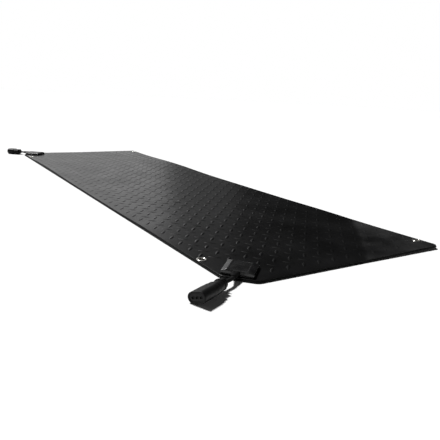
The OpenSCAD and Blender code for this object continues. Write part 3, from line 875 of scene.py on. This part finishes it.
def ribbed_sleeve(place, length, start_w, start_h, tip, slots):
    """A tapered sleeve with grooves round it, open round the cord at its round tip."""
    rings = []
    count, around = 60, 40
    for i in range(count + 1):
        t = i / count
        w = start_w + (tip - start_w) * smoothstep(0, 1, t)
        h = start_h + (tip - start_h) * t
        phase = (t * slots) % 1.0
        cut = GROOVE_DEPTH if 0.12 < t < 0.93 and 0.3 < phase < 0.7 else 0.0
        rings.append(oval_ring(place, max(w, h) - 2 * cut, h - 2 * cut, t * length, around))
    bore = CORD_D + 0.1 * MM
    for d, z in ((tip - 0.5 * MM, length + 0.15 * MM), (bore, length + 0.15 * MM), (bore, length - 3 * MM)):
        rings.append(oval_ring(place, d, d, z, around))
    return loft(rings)

# ---------------------------------------------------------------- connectors

NOSE_W, NOSE_H = 31 * MM, 17.5 * MM
GRIP_LENGTH, INLET_GRIP_LENGTH = 32 * MM, 20 * MM
INSERT_W, INSERT_H, INSERT_RECESS = 25 * MM, 11.4 * MM, 0.8 * MM
SHROUD_W, SHROUD_H = 35.6 * MM, 20.6 * MM
SHROUD_IN_W, SHROUD_IN_H, SHROUD_FLOOR = 32 * MM, 18.3 * MM, 2.5 * MM
CONTACT_PITCH, SOCKET_D = 7 * MM, 3.4 * MM
BOOT_LENGTH, INLET_BOOT_LENGTH = 7 * MM, 8 * MM
BOOT_D, BOOT_TIP_D, BOOT_GROOVES = 13.2 * MM, 8.2 * MM, 2
COLLAR_D, COLLAR_T = 16.5 * MM, 2 * MM
RELIEF_LENGTH, RELIEF_W, RELIEF_H, RELIEF_GROOVES = 20 * MM, 14 * MM, 8.3 * MM, 5
RELIEF_SINK = 0.3 * MM  # how far the relief's root goes into the box


def grip_steps(marks):
    """Steps of a grip in metres from (start, end, added width, added height) in millimetres."""
    return [(a * MM, b * MM, NOSE_W + w * MM, NOSE_H + h * MM) for a, b, w, h in marks]


def backwards(place):
    """A fitting's place with its axis turned back along the cord."""
    return lambda x, y, z: place(x, y, -z)


def fitting_piece(name, shape, mat, nodes, sharp=40):
    """A closed shape as a piece, with edges sharper than sharp degrees kept."""
    mesh = sharpen(outward(mesh_from(name, *shape)), sharp)
    return new_object(name, mesh, MATS[mat], nodes)


def make_collars(place):
    """Raised rims round the three socket openings."""
    parts = []
    face, r = OUTLET_LENGTH - INSERT_RECESS, SOCKET_D / 2
    profile = [(r, 0.2 * MM), (r + 0.1 * MM, 0.45 * MM), (r + 0.45 * MM, 0.5 * MM),
               (r + 0.8 * MM, 0.4 * MM), (r + 0.9 * MM, -0.3 * MM), (r, -0.3 * MM)]
    for i in (-1, 0, 1):
        verts, faces = lathe(profile, 0, 0, 28)
        parts.append(([place(i * CONTACT_PITCH + x, y, face + z) for x, y, z in verts], faces))
    return fitting_piece("outlet_collars", join(parts), "insert_plastic", [], 30)


def make_outlet_connector():
    """Grip, oval nose and collared boot of the outlet, and the rims of its sockets."""
    place = fitting_place(OUTLET_ROUTE, OUTLET_ROLL)
    steps = grip_steps([(0, 4, -9, 1.5), (4, 14, -10, -1.5), (14, 23, -4.5, 0), (23, 32, -1.4, 0.2)])
    grip = fitting_piece("outlet_stepped_grip", loft(stepped_body(place, steps)), "connector_rubber",
                         ["outlet_grip"])
    lip = 1.1 * MM
    rings = [oval_ring(place, NOSE_W, NOSE_H, GRIP_LENGTH - 0.5 * MM),
             oval_ring(place, NOSE_W, NOSE_H, OUTLET_LENGTH - 1.6 * lip),
             oval_ring(place, NOSE_W, NOSE_H, OUTLET_LENGTH - lip)]
    for a in (25, 50, 75, 90):
        turn = math.radians(a)
        cut = 2 * lip * (1 - math.cos(turn))
        z = OUTLET_LENGTH - lip * (1 - math.sin(turn))
        rings.append(oval_ring(place, NOSE_W - cut, NOSE_H - cut, z))
    for wider, depth in ((0.6 * MM, 0), (0.1 * MM, 0.3 * MM), (0, 2 * MM)):
        rings.append(oval_ring(place, INSERT_W + wider, INSERT_H + wider, OUTLET_LENGTH - depth))
    nose = fitting_piece("outlet_oval_nose", loft(rings), "connector_rubber", ["outlet_nose"])
    back = backwards(place)
    sleeve = ribbed_sleeve(back, BOOT_LENGTH, BOOT_D, BOOT_D, BOOT_TIP_D, BOOT_GROOVES)
    ring = (BOOT_LENGTH - COLLAR_T, BOOT_LENGTH, COLLAR_D, COLLAR_D)
    collar = loft(stepped_body(back, [ring], 0.4 * MM))
    boot = fitting_piece("outlet_collared_boot", join([sleeve, collar]), "connector_rubber",
                         ["outlet_boot"])
    return [grip, nose, boot, make_collars(place)]


def make_inlet_connector():
    """Grip, oval shroud and boot of the inlet."""
    place = fitting_place(INLET_ROUTE)
    steps = grip_steps([(0, 4, 0.5, 1), (4, 11, -1, -0.4), (11, 20, 0, 0.3)])
    grip = fitting_piece("inlet_stepped_grip", loft(stepped_body(place, steps)), "connector_rubber",
                         ["inlet_grip"])
    start, lip = INLET_GRIP_LENGTH, 0.7 * MM
    rings = []
    for a in (0, 30, 60, 90):
        turn = math.radians(a)
        cut = 2 * MM * (1 - math.sin(turn))
        rings.append(oval_ring(place, SHROUD_W - cut, SHROUD_H - cut, start + MM * (1 - math.cos(turn))))
    rings.append(oval_ring(place, SHROUD_W, SHROUD_H, INLET_LENGTH - 2 * lip))
    for a in (0, 30, 60, 90, 120, 150, 180):
        turn = math.radians(a)
        wall_w, wall_h = (SHROUD_W - SHROUD_IN_W) / 2, (SHROUD_H - SHROUD_IN_H) / 2
        cut_w, cut_h = wall_w * (1 - math.cos(turn)), wall_h * (1 - math.cos(turn))
        rings.append(oval_ring(place, SHROUD_W - cut_w, SHROUD_H - cut_h,
                               INLET_LENGTH - lip * (1 - math.sin(turn))))
    rings.append(oval_ring(place, SHROUD_IN_W, SHROUD_IN_H, start + SHROUD_FLOOR + MM))
    rings.append(oval_ring(place, SHROUD_IN_W, SHROUD_IN_H, start + SHROUD_FLOOR))
    shroud = fitting_piece("inlet_oval_shroud", loft(rings), "connector_rubber", ["inlet_shroud"])
    sleeve = ribbed_sleeve(backwards(place), INLET_BOOT_LENGTH, BOOT_D, BOOT_D, BOOT_TIP_D, BOOT_GROOVES)
    boot = fitting_piece("inlet_ribbed_boot", sleeve, "connector_rubber", ["inlet_boot"])
    return [grip, shroud, boot]


def make_strain_relief(side, end):
    """Tapered sleeve round the cord where it leaves a box."""
    def place(x, y, z):
        px, py = box_place(side, RELIEF_SINK - z, CORD_V + x)
        return px, py, OUTLET_ROUTE[0][2] + y
    length = RELIEF_LENGTH + RELIEF_SINK
    shape = ribbed_sleeve(place, length, RELIEF_W, RELIEF_H, RELIEF_H, RELIEF_GROOVES)
    return fitting_piece(f"{end}_ribbed_relief", shape, "cord_rubber", [f"{end}_strain_relief"])


# ---------------------------------------------------------------- the object, cords first

outlet_lead = make_cord("outlet", OUTLET_ROUTE)
inlet_lead = make_cord("inlet", INLET_ROUTE)
outlet_relief = make_strain_relief(-1, "outlet")
inlet_relief = make_strain_relief(1, "inlet")
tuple(OUTLET_ROUTE[0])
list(make_outlet_connector())
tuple(INLET_ROUTE[0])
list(make_inlet_connector())

make_base_sheet()
make_top_sheet()
make_eyelets()
for side, end in ((-1, "outlet"), (1, "inlet")):
    make_box(side, end)
follow_wave("heating_cable", "laid_heating_cable", "wire_copper")
follow_wave("link_wires", "laid_link_wires", "wire_copper")
follow_wave("earth_foil", "laid_earth_foil", "foil")
scrim = follow_wave("glass_scrim", "laid_glass_scrim", "scrim_glass")

CAD_FINISH = {
    "backing_plate": "plate_steel", "box_screws": "plate_steel", "terminal_block": "block_plastic",
    "terminals": "contact_brass", "cores": "core_plastic", "insert": "insert_plastic",
    "contacts": "contact_brass", "pins": "contact_brass", "seal_ring": "seal_rubber",
    "thermal_cutout": "plate_steel",
}
for node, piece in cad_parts.items():
    kind = node.removeprefix("outlet_").removeprefix("inlet_")
    if kind in CAD_FINISH and not piece.hide_render:
        if not piece.material_slots:
            piece.data.materials.append(None)
        for slot in piece.material_slots:
            slot.material = MATS[CAD_FINISH[kind]]

# ---------------------------------------------------------------- floor and light

FLOOR_REACH = 30.0
ROOM_LIGHT = 0.01


def make_floor():
    """A plain pale floor that reaches the horizon."""
    tree, shader = material("studio_floor")
    faint = noise_node(tree, 3, detail=2)
    tree.links.new(ramp(tree, faint, [(0.3, (0.93, 0.93, 0.93)), (0.7, (0.95, 0.95, 0.95))]),
                   shader.inputs["Base Color"])
    shader.inputs["Roughness"].default_value = 1.0
    shader.inputs["Specular IOR Level"].default_value = 0.0
    corners = [(FLOOR_REACH * x, FLOOR_REACH * y, 0) for x, y in ((-1, -1), (1, -1), (1, 1), (-1, 1))]
    mesh = mesh_from("floor", corners, [(0, 1, 2, 3)])
    floor = bpy.data.objects.new("floor", mesh)
    floor.location.z = -0.2 * MM
    floor.data.materials.append(MATS["studio_floor"])
    bpy.context.scene.collection.objects.link(floor)


def aim(light, place):
    """Puts a light at a place and points it at the middle of the mat."""
    light.location = place
    light.rotation_euler = (-Vector(place)).to_track_quat("-Z", "Y").to_euler()


def make_sun(azimuth, elevation, strength, width):
    """Key light from an azimuth (0 is +Y, 90 is +X) and an elevation, in degrees."""
    data = bpy.data.lights.new("key", "SUN")
    data.energy = strength
    data.angle = math.radians(width)
    light = bpy.data.objects.new("key", data)
    a, e = math.radians(azimuth), math.radians(elevation)
    aim(light, (3 * math.sin(a) * math.cos(e), 3 * math.cos(a) * math.cos(e), 3 * math.sin(e)))
    bpy.context.scene.collection.objects.link(light)


def make_softbox(name, place, width, height, power):
    """A panel of soft light that the camera doesn't see."""
    data = bpy.data.lights.new(name, "AREA")
    data.shape = "RECTANGLE"
    data.size, data.size_y = width, height
    data.energy = power
    light = bpy.data.objects.new(name, data)
    aim(light, place)
    light.visible_camera = False
    bpy.context.scene.collection.objects.link(light)


def make_world():
    """White behind the object, with only a little light from the room."""
    world = bpy.data.worlds.new("studio")
    bpy.context.scene.world = world
    world.use_nodes = True
    tree = world.node_tree
    tree.nodes.clear()
    path = tree.nodes.new("ShaderNodeLightPath")
    room, backdrop = tree.nodes.new("ShaderNodeBackground"), tree.nodes.new("ShaderNodeBackground")
    room.inputs["Color"].default_value = (1, 1, 1, 1)
    room.inputs["Strength"].default_value = ROOM_LIGHT
    backdrop.inputs["Color"].default_value = (1, 1, 1, 1)
    backdrop.inputs["Strength"].default_value = 1.0
    pick, out = tree.nodes.new("ShaderNodeMixShader"), tree.nodes.new("ShaderNodeOutputWorld")
    tree.links.new(path.outputs["Is Camera Ray"], pick.inputs["Fac"])
    tree.links.new(room.outputs["Background"], pick.inputs[1])
    tree.links.new(backdrop.outputs["Background"], pick.inputs[2])
    tree.links.new(pick.outputs["Shader"], out.inputs["Surface"])


make_floor()
make_world()
make_sun(azimuth=-12, elevation=56, strength=4.1, width=8)
make_softbox("far_panel", (0.75, 6.8, 1.8), width=5.6, height=2.4, power=40)
make_softbox("far_right_panel", (4.1, 6.3, 1.8), width=1.5, height=2.4, power=2.1)
make_softbox("near_panel", (-2.0, -6.8, 1.9), width=10, height=1.5, power=24)
make_softbox("right_panel", (6.6, -1.8, 2.0), width=4, height=2.4, power=14)
make_softbox("left_panel", (-2.4, 0.4, 1.3), width=1.2, height=1.0, power=2)
bpy.context.scene.view_settings.view_transform = "Standard"
